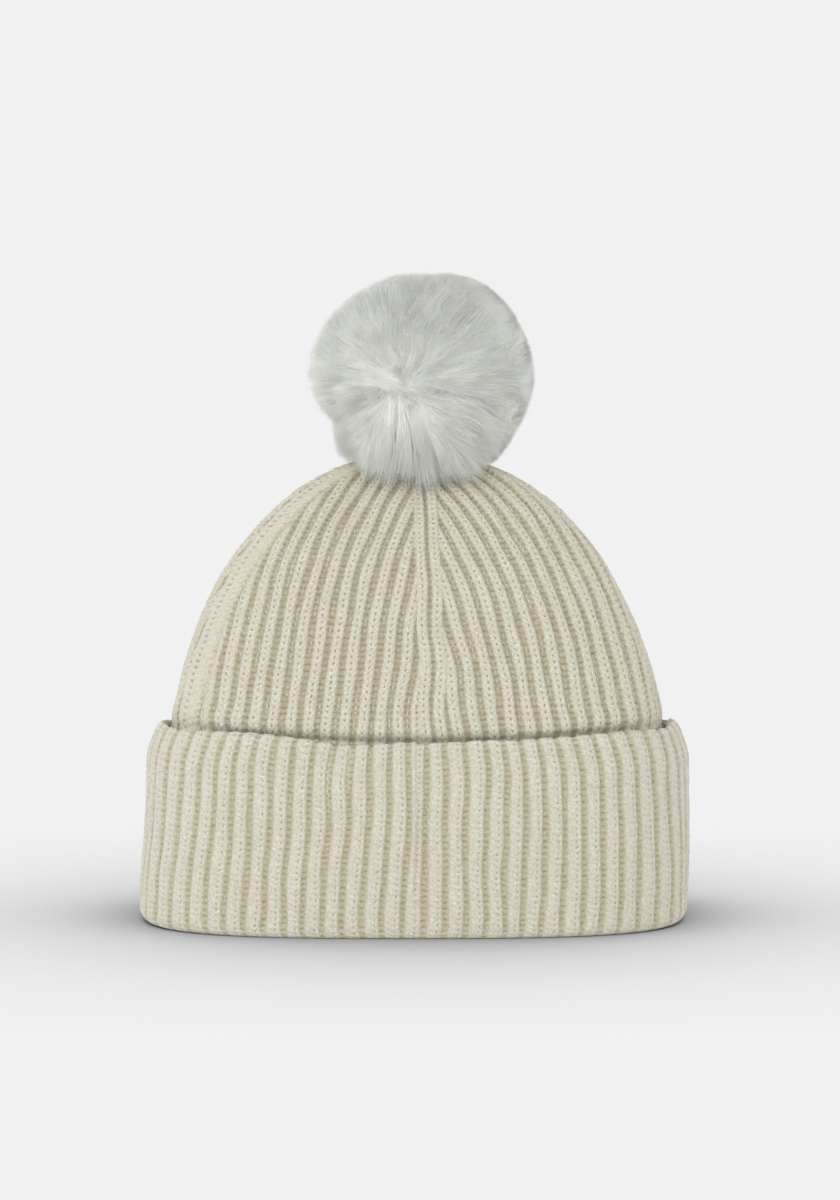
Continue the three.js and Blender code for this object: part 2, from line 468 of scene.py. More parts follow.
def knit_material(name, ridge_tones, groove_shade_tones, dark, stitch, dot_shade, leg_gap_shade, rung_gap_shade):
    """Ribbed knit: yarn ridges with stitches, flecks and fuzz; the grooves with their rungs, the leg gaps and
    the dots are coloured darker as painted shade.
    """
    material, graph, shader = new_material(
        name, Roughness=0.92, Sheen_Weight=0.25, Sheen_Roughness=0.6, Specular_IOR_Level=0.15
    )
    layer = graph.node("ShaderNodeUVMap", uv_map=KNIT_LAYER).outputs[0]
    parts = graph.node("ShaderNodeSeparateXYZ", layer).outputs
    place = object_place(graph)
    wobble = graph.noise(place, 420.0, 1.0)
    across = graph.math("ADD", parts[0], graph.math("MULTIPLY_ADD", wobble, 0.09, -0.045))
    up = graph.math("ADD", parts[1], graph.math("MULTIPLY_ADD", wobble, 0.3, -0.15))
    pattern = graph.group(RIB_STITCHES, Across=across, Up=up, **stitch)
    fibres = graph.group(YARN_FIBRES, Place=place)

    fleck = graph.fade(fibres["Fleck"], 0.36, 0.66)
    ridge = graph.mix(fleck, *ridge_tones)
    # Painted shade: the groove colours are darker than the ridges for the shade in the grooves.
    groove = graph.mix(fleck, *groove_shade_tones)
    colour = graph.mix(pattern["Ridge"], groove, ridge)
    drift = graph.fade(fibres["Drift"], 0.3, 0.7)
    colour = graph.mix(graph.math("MULTIPLY", drift, 0.35), colour, tone(0.94, 0.93, 0.84), "MULTIPLY")
    shade = graph.fade(fibres["Fibre"], 0.3, 0.68, 0.78, 1.09)
    colour = graph.mix(1.0, colour, shade, "MULTIPLY")
    uneven = graph.fade(graph.noise(place, 700.0, 1.0), 0.34, 0.62, 0.35, 1.0)
    # Painted shade: the dark tone darkens the leg gaps, the gaps between rungs and the stitch dots, where
    # shade falls in the knit.
    for mask, strength in (("Leg gap", leg_gap_shade), ("Rung", rung_gap_shade), ("Dot", dot_shade)):
        share = graph.math("MULTIPLY", graph.math("MULTIPLY", pattern[mask], strength), uneven)
        colour = graph.mix(share, colour, dark)
    graph.feed(shader["Base Color"], colour)

    fuzz = graph.math("MULTIPLY", fibres["Height"], 0.7)
    relief = graph.math("MULTIPLY_ADD", pattern["Leg height"], 0.8, fuzz)
    relief = graph.math("SUBTRACT", relief, graph.math("MULTIPLY", pattern["Dot"], 0.8))
    relief = graph.math("SUBTRACT", relief, graph.math("MULTIPLY", pattern["Rung"], 0.5))
    bump = graph.tree.nodes.new("ShaderNodeBump")
    bump.inputs["Strength"].default_value = 0.8
    bump.inputs["Distance"].default_value = 0.35 * MM
    graph.feed(bump.inputs["Height"], relief)
    graph.feed(shader["Normal"], bump.outputs[0])
    return material


def yarn_material(name, light, dark, bump_size=0.25 * MM, fineness=1.0):
    """Plain spun yarn, felt or fibre."""
    material, graph, shader = new_material(name, Roughness=0.92, Sheen_Weight=0.25, Sheen_Roughness=0.6,
                                           Specular_IOR_Level=0.15)
    fibres = graph.group(YARN_FIBRES, Place=object_place(graph), Fineness=fineness)
    colour = graph.mix(graph.fade(fibres["Fleck"], 0.32, 0.68), light, dark)
    shade = graph.fade(fibres["Fibre"], 0.25, 0.7, 0.84, 1.06)
    colour = graph.mix(1.0, colour, shade, "MULTIPLY")
    graph.feed(shader["Base Color"], colour)
    bump = graph.tree.nodes.new("ShaderNodeBump")
    bump.inputs["Strength"].default_value = 0.8
    bump.inputs["Distance"].default_value = bump_size
    graph.feed(bump.inputs["Height"], fibres["Height"])
    graph.feed(shader["Normal"], bump.outputs[0])
    return material


def fur_material(name, root, middle, tip):
    """Pile fibre: a little darker at the root than the tip, with its own tint for each strand."""
    material, graph, shader = new_material(name, Roughness=0.62, Sheen_Weight=0.15, Sheen_Roughness=0.5,
                                           Specular_IOR_Level=0.3)
    layer = graph.node("ShaderNodeUVMap", uv_map=BAKE_LAYER).outputs[0]
    parts = graph.node("ShaderNodeSeparateXYZ", layer).outputs
    colour = graph.mix(graph.fade(parts[1], 0.0, 0.5), root, middle)
    colour = graph.mix(graph.fade(parts[1], 0.4, 1.0), colour, tip)
    tint = graph.noise(graph.node("ShaderNodeCombineXYZ", parts[0], 0.5, 0.5).outputs[0], 23.0, 3.0)
    colour = graph.mix(1.0, colour, graph.fade(tint, 0.3, 0.7, 0.90, 1.04), "MULTIPLY")
    tuft = graph.noise(graph.node("ShaderNodeCombineXYZ", parts[0], 7.5, 2.5).outputs[0], 7.0, 1.0)
    colour = graph.mix(1.0, colour, graph.fade(tuft, 0.32, 0.62, 0.84, 1.03), "MULTIPLY")
    warm = graph.noise(graph.node("ShaderNodeCombineXYZ", parts[0], 3.5, 1.5).outputs[0], 31.0, 1.0)
    colour = graph.mix(graph.fade(warm, 0.52, 0.7, 0.0, 0.35), colour, tone(0.96, 0.96, 0.9), "MULTIPLY")
    graph.feed(shader["Base Color"], colour)
    return material


def metal_material(name, colour):
    material, graph, shader = new_material(name, Metallic=1.0)
    marks = graph.group(PLATED_MARKS, Place=object_place(graph), Amount=1.0)
    graph.feed(shader["Base Color"], graph.mix(1.0, colour, marks["Tone"], "MULTIPLY"))
    graph.feed(shader["Roughness"], marks["Roughness"])
    bump = graph.tree.nodes.new("ShaderNodeBump")
    bump.inputs["Strength"].default_value = 0.25
    bump.inputs["Distance"].default_value = 0.04 * MM
    graph.feed(bump.inputs["Height"], marks["Height"])
    graph.feed(shader["Normal"], bump.outputs[0])
    return material


def plastic_material(name, colour):
    material, graph, shader = new_material(name, Specular_IOR_Level=0.45)
    marks = graph.group(PLATED_MARKS, Place=object_place(graph), Amount=0.8)
    graph.feed(shader["Base Color"], graph.mix(0.5, colour, marks["Tone"], "MULTIPLY"))
    graph.feed(shader["Roughness"], graph.math("ADD", marks["Roughness"], 0.2))
    return material


def satin_material(name, colour, weft):
    """Woven satin ribbon with a close weave and pressed edges."""
    material, graph, shader = new_material(name, Roughness=0.5, Sheen_Weight=0.1, Specular_IOR_Level=0.35)
    place = object_place(graph)
    weave = graph.node("ShaderNodeTexWave", place, 1700.0, 1.5, 2.0, wave_type="BANDS", bands_direction="Z")
    warp = graph.node("ShaderNodeTexWave", place, 1300.0, 1.0, 2.0, wave_type="BANDS", bands_direction="X")
    height = graph.math("ADD", weave.outputs["Fac"], graph.math("MULTIPLY", warp.outputs["Fac"], 0.6))
    share = graph.fade(height, 0.3, 1.4)
    graph.feed(shader["Base Color"], graph.mix(share, weft, colour))
    bump = graph.tree.nodes.new("ShaderNodeBump")
    bump.inputs["Strength"].default_value = 0.6
    bump.inputs["Distance"].default_value = 0.08 * MM
    graph.feed(bump.inputs["Height"], height)
    graph.feed(shader["Normal"], bump.outputs[0])
    return material


CROWN_STITCH = {"Left_edge": -0.31, "Right_edge": 0.31, "Softness": 0.045, "Leg_slant": 2.3,
                "Dot_place": 0.0, "Dot_width": 0.075, "Rung_width": 0.24}
CUFF_STITCH = {"Left_edge": -0.31, "Right_edge": 0.35, "Softness": 0.06, "Leg_slant": 0.9,
               "Dot_place": 0.13, "Dot_width": 0.06, "Rung_width": 0.17}

# In both knits the groove tones and the last dark tone are painted shade for the recesses; the ridge tones
# are the yarn's own colour.
rib_knit = knit_material(
    "cream rib knit",
    (tone(0.545, 0.51, 0.405), tone(0.645, 0.63, 0.53)),
    (tone(0.41, 0.365, 0.265), tone(0.505, 0.46, 0.355)),
    tone(0.15, 0.12, 0.07), CROWN_STITCH, 0.75, 0.10, 0.55,
)
rib_knit_reverse = knit_material(
    "cream rib knit, reverse side",
    (tone(0.54, 0.505, 0.42), tone(0.64, 0.62, 0.535)),
    (tone(0.44, 0.40, 0.285), tone(0.515, 0.48, 0.37)),
    tone(0.18, 0.15, 0.08), CUFF_STITCH, 0.6, 0.08, 0.6,
)
seam_thread = yarn_material("linking yarn", tone(0.62, 0.58, 0.47), tone(0.52, 0.47, 0.36))
gather_yarn = yarn_material("gathering yarn", tone(0.64, 0.61, 0.52), tone(0.54, 0.50, 0.41), 0.15 * MM, 1.5)
felt = yarn_material("cream felt", tone(0.60, 0.56, 0.47), tone(0.50, 0.45, 0.35), 0.3 * MM, 1.3)
backing_knit = yarn_material("pile backing", tone(0.60, 0.61, 0.59), tone(0.48, 0.49, 0.47), 0.3 * MM)
stuffing_fibre = yarn_material("stuffing fibre", tone(0.84, 0.84, 0.83), tone(0.7, 0.7, 0.69), 0.6 * MM, 0.5)
faux_fur = fur_material(
    "pale faux fur", tone(0.84, 0.85, 0.80), tone(0.87, 0.885, 0.835), tone(0.89, 0.91, 0.855)
)
nickel = metal_material("satin nickel", tone(0.66, 0.65, 0.61))
base_plastic = plastic_material("white base plastic", tone(0.8, 0.8, 0.78))
label_satin = satin_material("blank label satin", tone(0.86, 0.85, 0.81), tone(0.74, 0.73, 0.69))


# ---------------------------------------------------------------- the stage

def build_stage():
    """Pale floor with a painted contact shadow round the hat, even pale surroundings, a soft key light and
    the camera.
    """
    pale = 0.879
    world = bpy.data.worlds.new("pale studio")
    scene.world = world
    world.use_nodes = True
    graph = Graph(world.node_tree)
    back = world.node_tree.nodes["Background"]
    way = graph.tree.nodes.new("ShaderNodeTexCoord").outputs["Generated"]
    parts = graph.node("ShaderNodeSeparateXYZ", way).outputs
    low = graph.math("MULTIPLY_ADD", parts[2], -0.72, 0.86)
    both_ends = graph.math("MULTIPLY_ADD", graph.math("MULTIPLY", parts[1], parts[1]), 0.50, low)
    both_sides = graph.math("MULTIPLY_ADD", graph.math("MULTIPLY", parts[0], parts[0]), 0.86, both_ends)
    behind = graph.math("MULTIPLY_ADD", graph.math("MAXIMUM", parts[1], 0.0), 0.62, both_sides)
    seen = graph.tree.nodes.new("ShaderNodeLightPath").outputs["Is Camera Ray"]
    strength = graph.node("ShaderNodeMix", seen, None, behind, pale)
    graph.feed(back.inputs["Color"], (1, 1, 1, 1))
    graph.feed(back.inputs["Strength"], strength.outputs[0])

    floor_paint = bpy.data.materials.new("pale floor")
    floor_paint.use_nodes = True
    graph = Graph(floor_paint.node_tree)
    nodes = floor_paint.node_tree.nodes
    nodes.clear()
    out = nodes.new("ShaderNodeOutputMaterial")
    # The camera sees the floor glow evenly, darkened by ambient occlusion round the hat: a painted contact
    # shadow. Other rays see a plain matte floor.
    near = nodes.new("ShaderNodeAmbientOcclusion")
    near.inputs["Distance"].default_value = 0.28
    near.samples = 24
    shade = graph.math("POWER", near.outputs["AO"], 1.45)
    floor_glow_with_painted_shadow = nodes.new("ShaderNodeEmission")
    graph.feed(floor_glow_with_painted_shadow.inputs["Strength"], graph.math("MULTIPLY", shade, pale))
    matte = nodes.new("ShaderNodeBsdfDiffuse")
    matte.inputs["Color"].default_value = (0.84, 0.84, 0.84, 1)
    clear = nodes.new("ShaderNodeBsdfTransparent")
    rays = nodes.new("ShaderNodeLightPath").outputs["Is Camera Ray"]
    facing = nodes.new("ShaderNodeNewGeometry").outputs["Backfacing"]
    lit = nodes.new("ShaderNodeMixShader")
    one_sided = nodes.new("ShaderNodeMixShader")
    for socket, value in zip(lit.inputs, (rays, matte.outputs[0], floor_glow_with_painted_shadow.outputs[0])):
        graph.feed(socket, value)
    for socket, value in zip(one_sided.inputs, (facing, lit.outputs[0], clear.outputs[0])):
        graph.feed(socket, value)
    graph.feed(out.inputs["Surface"], one_sided.outputs[0])

    reach = 9.0
    corners = np.array([[-reach, -reach, 0], [reach, -reach, 0], [reach, reach, 0], [-reach, reach, 0]])
    floor = make_piece("floor", corners, [np.array([[0, 1, 2, 3]])], floor_paint)

    key = bpy.data.lights.new("soft key", "SUN")
    key.energy = 1.8
    key.angle = math.radians(75)
    key_stand = bpy.data.objects.new("soft key", key)
    key_stand.rotation_euler = (math.radians(76), 0, math.radians(-16))
    scene.collection.objects.link(key_stand)

    elevation = math.radians(3.6)
    distance = 2.2
    frame_height = 507.4 * MM
    target = Vector((1.3 * MM, 0, 133.4 * MM))
    lens = bpy.data.cameras.new("camera")
    lens.sensor_width = 36
    lens.lens = 36 * distance / frame_height
    lens.clip_start = 0.05
    lens.clip_end = 60
    camera = bpy.data.objects.new("camera", lens)
    back_off = Vector((0, -math.cos(elevation), math.sin(elevation)))
    camera.location = target + back_off * distance
    camera.rotation_euler = (math.radians(90) - elevation, 0, 0)
    scene.collection.objects.link(camera)
    scene.camera = camera
    scene.view_settings.view_transform = "Standard"


# ---------------------------------------------------------------- the knitted crown

def dome_path(inset):
    """The crown's outline from its foot to the hole at the top, as [share of the plan, height]."""
    wall = np.linspace(CROWN_FOOT, WALL_TOP, 40)
    last = math.acos((KNIT_HOLE / CROWN_WIDTH) ** (1 / DOME_FULLNESS))
    angle = np.linspace(0, last, 900)[1:]
    share = np.concatenate([np.ones(len(wall)), np.cos(angle) ** DOME_FULLNESS])
    dome = WALL_TOP + (CROWN_TOP - WALL_TOP - inset) * np.sin(angle)
    return share, np.concatenate([wall, dome])


def crown_rows(inset, hidden_step, shown_step, shown_from):
    """Rows up the crown: the share of the plan, the height, and the length along the knit."""
    share, height = dome_path(inset)
    mean_width = (CROWN_WIDTH + CROWN_DEPTH) / 2
    spacing = np.where(height > shown_from, shown_step, hidden_step)
    path, place = even_steps(np.stack([share * mean_width, height], axis=1), spacing)
    return path[:, :1] / mean_width, path[:, 1:], place[:, None]


def oval_rows(half_width, half_depth, fractions):
    return oval_point(even_angles(fractions, half_width, half_depth), half_width, half_depth)


def rib_top(place, ragged=0, flat=0.19, edge=0.46):
    """Height of a rib across its pitch, 1 on the crest and 0 in the groove."""
    away = np.abs(place) + ragged
    return (1 - smooth_step(flat, edge, away)) * (1 - 0.16 * (away / edge) ** 2)


def gore_ribs(fraction, share):
    """Rib coordinates on the four gores: one set runs with the gore's edges, the other up its middle.

    Each gore's edge has a rib of its own, but the left decrease line has one wide flat band.
    """
    ribs = (fraction * RIBS - GORE_LINES[0]) % RIBS
    starts = np.array(GORE_LINES) - GORE_LINES[0]
    widths = np.diff(np.append(starts, RIBS))
    gore = np.searchsorted(starts, ribs, side="right") - 1
    width = widths[gore] * share
    along = (ribs - starts[gore]) * share
    narrowing = 0.8 + 0.2 * share
    edge = np.minimum(along, width - along) / narrowing
    edge_place = np.where(along < width / 2, edge - EDGE_RIB, EDGE_RIB - edge)
    middle_place = (along - width / 2) / narrowing + widths[gore] / 2 - 0.5
    on_band = np.where(along < width / 2, gore == 3, gore == 2)
    across_band = np.where(along < width / 2, edge, -edge) * 0.36
    return edge, np.where(on_band, across_band, edge_place), middle_place, on_band


def crown_relief(fraction, share, run):
    """Height of the ribs over the crown, whether an edge rib is on top, and both rib coordinates."""
    fraction = fraction + 0.07 / RIBS * soft_noise(fraction * 5, run / (70 * MM), 12)
    from_front = (fraction * RIBS - GORE_LINES[0] + RIBS / 2) % RIBS - RIBS / 2
    bend = 0.11 * soft_noise(0.2, run / (24 * MM), 17) * np.exp(-(from_front / 3.5) ** 2)
    fraction = fraction + bend / RIBS
    stitch_edges = 0.022 * np.cos(2 * math.pi * run / CROWN_ROW)
    ragged = stitch_edges + 0.016 * soft_noise(fraction * 260, run / (3 * MM), 13, 14)
    edge, edge_place, middle_place, on_band = gore_ribs(fraction, share)
    inner = np.clip((edge - 1) / 3, 0, 1)
    middle_place = middle_place + 0.05 * inner * soft_noise(fraction * 46, run / (34 * MM), 11)
    edge_top = np.where(edge < EDGE_RIB + 0.5, rib_top(edge - EDGE_RIB, ragged), 0)
    band_top = 0.94 * (1 - smooth_step(0.62, 0.95, edge + ragged))
    edge_top = np.where(on_band, band_top, edge_top)
    past_edge = np.where(on_band, edge - 0.4, edge)
    middle_top = rib_top(middle_place - np.round(middle_place), ragged) * smooth_step(0.5, 0.9, past_edge)
    top = np.maximum(edge_top, middle_top)
    on_edge = edge_top >= middle_top
    return top, on_edge, edge_place, middle_place


def stitch_lobes(place, rows_up, top):
    """The legs of the face stitches on the ridges, and the rungs between them in the grooves."""
    away = np.abs(place - np.round(place))
    leg = 0.5 + 0.5 * np.cos(2 * math.pi * (rows_up - 2.3 * away))
    rung = 0.5 + 0.5 * np.cos(2 * math.pi * rows_up)
    furrow = np.clip(1 - away / 0.07, 0, 1)
    on_ridge = smooth_step(0.25, 0.7, top)
    return on_ridge * (0.09 * MM * leg - 0.12 * MM * furrow) + (1 - on_ridge) * 0.4 * MM * rung


def quarter_pieces(name, points, across_sets, on_edge, up, run, material, slot, node):
    """Cuts a ring of knit into four pieces at the centre lines, and maps ribs and rows on each."""
    columns = (points.shape[1] - 1) // 4
    for quarter, side in enumerate(("front_right", "back_right", "back_left", "front_left")):
        part = slice(quarter * columns, (quarter + 1) * columns + 1)
        place = at_corners(np.stack([across_sets[0][:, part], up[:, part]], axis=2))
        if on_edge is not None:
            other = at_corners(np.stack([across_sets[1][:, part], up[:, part]], axis=2))
            chosen = at_corners(on_edge[:, part].astype(float)).mean(axis=1) > 0.5
            place = unwrap_faces(np.where(chosen[:, None, None], place, other))
        rows = points.shape[0]
        sheet_u = np.broadcast_to(np.linspace(0.002, 0.998, columns + 1), (rows, columns + 1))
        sheet_v = np.broadcast_to((run / run[-1]) * 0.996 + 0.002, (rows, columns + 1))
        layers = {
            BAKE_LAYER: at_corners(np.stack([sheet_u, sheet_v], axis=2)),
            KNIT_LAYER: place,
        }
        piece = make_piece(f"{name}_{side}", points[:, part].reshape(-1, 3),
                           [grid_faces(rows, columns + 1)], material, layers)
        settle(piece, "hat", slot, node)


def unwrap_faces(place):
    """Keeps the rib count running evenly over each face, where the count starts again."""
    left, right = place[:, [0, 3], 0], place[:, [1, 2], 0]
    jump = np.round(right - left)
    place = place.copy()
    place[:, [1, 2], 0] = right - jump
    return place


def lip_lift(x, y):
    """How far the cuff's lip rises towards the hat's sides, more in front than behind."""
    sideways = (x / CUFF_WIDTH) ** 2
    return sideways * (2.6 * MM - 0.055 * y)


def squeeze_at_cuff(x, y, height):
    """The cuff's lip grips the crown, which is drawn in there and swells just above."""
    above = height - CUFF_TOP - lip_lift(x, y)
    grip = np.exp(-((above + 0.4 * MM) / (1.9 * MM)) ** 2)
    swell = np.exp(-((above - 5.5 * MM) / (4.2 * MM)) ** 2)
    frontal = 1 - 0.8 * smooth_step(0.72, 1.0, np.abs(x) / CROWN_WIDTH)
    return (1.7 * MM * swell - 2.6 * MM * grip) * frontal


def build_crown():
    """The crown's face side, with its ribs, stitches and the grip of the cuff."""
    columns = RIBS * COLUMNS_PER_RIB
    fraction = np.arange(columns) / columns
    x, y = oval_rows(CROWN_WIDTH, CROWN_DEPTH, fraction)
    share, height, run = crown_rows(0, 1.7 * MM, 0.5 * MM, 70 * MM)
    base = np.stack([x * share, y * share, np.broadcast_to(height, (len(height), columns))], axis=2)
    out = ring_normals(base)
    fraction = fraction[None]
    top, on_edge, edge_place, middle_place = crown_relief(fraction, share, run)
    rows_up = run / CROWN_ROW + 0.25 * soft_noise(fraction * 30, run / (40 * MM), 5)
    depth = 1.9 * MM * smooth_step(0.02, 0.3, share)
    place = np.where(on_edge, edge_place, middle_place)
    relief = 0.55 * MM - depth * (1 - top)
    relief = relief + stitch_lobes(place, rows_up, top) * smooth_step(0.02, 0.15, share)
    relief = relief + 0.12 * MM * soft_noise(fraction * 60, run / (16 * MM), 3)
    fuzz = soft_noise(fraction * 230, run / (3.1 * MM), 6, 14)
    relief = relief + 0.10 * MM * fuzz * smooth_step(0.1, 0.3, share)
    relief = relief + squeeze_at_cuff(x, y, height)
    slack = soft_noise(fraction * 12, run / (60 * MM), 4)
    relief = relief + 0.5 * MM * slack * smooth_step(0.05, 0.4, share)
    points = base + out * relief[:, :, None]
    rib_places = (close_ring(edge_place), close_ring(middle_place))
    quarter_pieces("crown_knit", close_ring(points), rib_places, close_ring(on_edge),
                   close_ring(rows_up), run, rib_knit, "rib_knit", "crown_shell")
    build_crown_inside()


def build_crown_inside():
    """The reverse side of the crown's knit, seen through the head opening."""
    columns = RIBS * 6
    fraction = np.arange(columns) / columns
    x, y = oval_rows(CROWN_WIDTH - KNIT_THICKNESS, CROWN_DEPTH - KNIT_THICKNESS, fraction)
    share, height, run = crown_rows(KNIT_THICKNESS, 1.5 * MM, 1.5 * MM, 0)
    base = np.stack([x * share, y * share, np.broadcast_to(height, (len(height), columns))], axis=2)
    out = ring_normals(base)
    fraction = fraction[None]
    top, on_edge, edge_place, middle_place = crown_relief(fraction, share, run)
    relief = 0.9 * MM * top - 0.2 * MM
    relief = relief + 0.15 * MM * soft_noise(fraction * 60, run / (16 * MM), 8)
    points = base + out * (relief * smooth_step(0.02, 0.2, share))[:, :, None]
    place = np.where(on_edge, edge_place, middle_place) + 0.5
    up = close_ring(np.broadcast_to(run / CROWN_ROW, points.shape[:2]))
    place = at_corners(np.stack([close_ring(place), up], axis=2)[:, ::-1])
    layers = {KNIT_LAYER: unwrap_faces(place)}
    points = close_ring(points)[:, ::-1]
    piece = make_piece("crown_knit_inside", points.reshape(-1, 3), [grid_faces(*points.shape[:2])],
                       rib_knit_reverse, layers)
    settle(piece, "hat", "rib_knit", "crown_shell")


# ---------------------------------------------------------------- the cuff

def arc(centre_out, centre_up, out, up, start, end, count):
    """Points on an oval arc of the cuff's section, between two angles in degrees."""
    turn = np.radians(np.linspace(start, end, count))
    return np.stack([centre_out + out * np.cos(turn), centre_up + up * np.sin(turn)], axis=1)


def cuff_path():
    """The cuff's section as [half-width, height], from the fold up the outside and down the inside."""
    outer, inner = CUFF_WIDTH, CUFF_WIDTH - CUFF_THICKNESS
    flush = CROWN_WIDTH - KNIT_THICKNESS
    lip = 4 * MM
    middle = (outer + inner) / 2
    return np.concatenate([
        np.array([[flush + 2 * MM, 0]]),
        arc(outer - 4 * MM, 5 * MM, 4 * MM, 5 * MM, -90, 0, 16),
        arc(middle, CUFF_TOP - lip, outer - middle, lip, 0, 180, 40),
        arc(inner - 3.5 * MM, 9 * MM, 3 * MM, 5 * MM, 0, -90, 10),
        np.array([[flush, 4 * MM], [flush, 2 * MM], [flush + 2 * MM, 0]]),
    ])


def cuff_lean(fraction):
    """How far the ribs lean, in ribs from the fold to the lip: towards the middle on the left."""
    turn = 2 * math.pi * fraction
    return 0.32 * np.sin(turn) - 0.12


def build_cuff():
    """The turned-up cuff: a rolled fold below, a soft lip above, and the reverse side out."""
    columns = RIBS * COLUMNS_PER_RIB
    fraction = np.arange(columns) / columns
    path = cuff_path()
    fine = np.linspace(0, 1, 30)[:, None]
    path = np.concatenate([path[i] * (1 - fine) + path[i + 1] * fine for i in range(len(path) - 1)])
    path = path[np.concatenate([[True], np.any(np.diff(path, axis=0) != 0, axis=1)])]
    outside = path[:, 0] > CUFF_WIDTH - CUFF_THICKNESS / 2
    spacing = np.where(outside & (path[:, 1] > 0.5 * MM), 0.5 * MM, 2.5 * MM)
    rows, run = even_steps(path, spacing)
    run = run[:, None]
    half_width, height = rows[:, :1], rows[:, 1:]
    lean_in = 2.4 * MM * smooth_step(50 * MM, CUFF_TOP, height)
    half_depth = CROWN_DEPTH + (half_width - CROWN_WIDTH) * CUFF_FLATTENING - lean_in
    half_width = half_width - 1.8 * MM * smooth_step(10 * MM, 66 * MM, height)
    half_width = half_width - 4.2 * MM * smooth_step(62 * MM, CUFF_TOP + 1 * MM, height) ** 1.4
    angle = even_angles(fraction, CUFF_WIDTH, CROWN_DEPTH + 6 * MM)
    x, y = oval_point(angle[None], half_width, half_depth)
    base = np.stack([x, y, np.broadcast_to(height, x.shape)], axis=2)
    out = ring_normals(base)

    fraction = fraction[None]
    up_share = np.clip(height / CUFF_TOP, 0, 1)
    place = fraction * RIBS + cuff_lean(fraction) * (up_share - 0.5)
    place = place + 0.035 * soft_noise(fraction * 50, height / (30 * MM), 21)
    place = place + 0.07 * soft_noise(fraction * 16, height / (60 * MM), 26)
    rows_up = run / CUFF_ROW + 0.3 * soft_noise(fraction * 30, run / (40 * MM), 22)
    step = place - np.round(place)
    ridge = smooth_step(-0.44, -0.22, step) * (1 - smooth_step(0.30, 0.41, step))
    ridge = ridge * (1 - 0.10 * ((step + 0.03) / 0.36) ** 2)
    outer_face = (rows[:, :1] > CUFF_WIDTH - CUFF_THICKNESS / 2).astype(float)
    on_lip = smooth_step(CUFF_TOP - 5 * MM, CUFF_TOP - 0.5 * MM, height)
    strength = smooth_step(0.3 * MM, 6 * MM, height) * (0.45 + 0.55 * outer_face) * (1 - 0.6 * on_lip)
    bead = 0.5 + 0.5 * np.cos(2 * math.pi * rows_up)
    relief = 0.45 * MM - 1.35 * MM * (1 - ridge)
    relief = relief + 0.05 * MM * bead * ridge + 0.3 * MM * bead * (1 - ridge)
    relief = relief - 0.14 * MM * np.clip(1 - np.abs(step - 0.13) / 0.08, 0, 1)
    relief = relief + 0.10 * MM * soft_noise(fraction * 60, run / (16 * MM), 23)
    relief = relief + 0.09 * MM * soft_noise(fraction * 230, run / (3.1 * MM), 27, 14) * outer_face
    relief = relief * strength
    slack = soft_noise(fraction * 10, height / (90 * MM), 24)
    relief = relief + 0.6 * MM * slack * smooth_step(0, 20 * MM, height)
    points = base + out * relief[:, :, None]
    lip_wave = 0.35 * MM * soft_noise(fraction * 26, 0 * height, 25) * smooth_step(0.6, 1.0, up_share)
    points[:, :, 2] += lip_wave + lip_lift(points[:, :, 0], points[:, :, 1]) * smooth_step(0.3, 1.0, up_share)
    points[:, :, 2] = np.maximum(points[:, :, 2], 0)
    points[:, :, 0] -= 1.5 * MM * (1 - smooth_step(0, 45 * MM, points[:, :, 2]))
    place = np.concatenate([place, place[:, :1] + RIBS], axis=1)
    quarter_pieces("cuff_knit", close_ring(points), (place,), None, close_ring(rows_up), run,
                   rib_knit_reverse, "rib_knit_reverse", "turn_up_cuff")


# ---------------------------------------------------------------- the pom

STRANDS = 76000  # over the whole ball, before those round the socket are left out
CLUMPS = 620
TINTS = 64
OPEN_BELOW = -0.93  # no strand grows below this height on a ball of radius 1
WHORL = (-0.20, -1.0, -0.08)  # the way to the front whorl; a second whorl lies opposite, behind
LEAN = math.radians(44)
PARTING = 1.76  # the angle from the front whorl, in radians, where the back's lie of the pile begins
PILE_DEPTH = 45.2  # the pile's reach straight to the front and back, in mm
UNDER_FUR_DEPTH = 44.5
UNDER_FUR_SHARE = 0.90
ROOT_SHARE = 0.70
MIDDLE_SHARE = 0.92
BACK_DIMPLE = 0.055
SKIRT_TOP = 204 * MM  # strands whose tips end below this lie on the crown, and stay with the socket
STRAND_RADIUS = 0.115 * MM

# The pile's outline in front view: the angle above +X in degrees, and the reach in mm.
FUR_OUTLINE = (
    (0, 47.8), (30, 46.8), (52, 47.2), (75, 44.8), (84, 43.1), (116, 43.7), (143, 45.7), (176, 48.5),
    (194, 46.2), (208, 42.6), (224, 48.6), (257, 44.4), (270, 45.2), (288, 47.6), (311, 47.6), (331, 46.3),
    (352, 47.4),
)


def unit(vectors):
    return vectors / np.linalg.norm(vectors, axis=1, keepdims=True)


def even_directions(count, draw, jitter):
    """Directions spread evenly over a ball."""
    step = np.arange(count) + 0.5
    height = 1 - 2 * step / count
    turn = step * math.pi * (3 - math.sqrt(5))
    ring = np.sqrt(1 - height ** 2)
    ways = np.stack([ring * np.cos(turn), ring * np.sin(turn), height], axis=1)
    return unit(ways + draw.normal(0, jitter, ways.shape))


def turn_towards(ways, axis, angle):
    """Turns each direction towards an axis by its own angle."""
    across = axis - ways * (ways @ axis)[:, None]
    size = np.linalg.norm(across, axis=1, keepdims=True)
    across = across / np.maximum(size, 1e-6)
    return ways * np.cos(angle)[:, None] + across * np.sin(angle)[:, None]


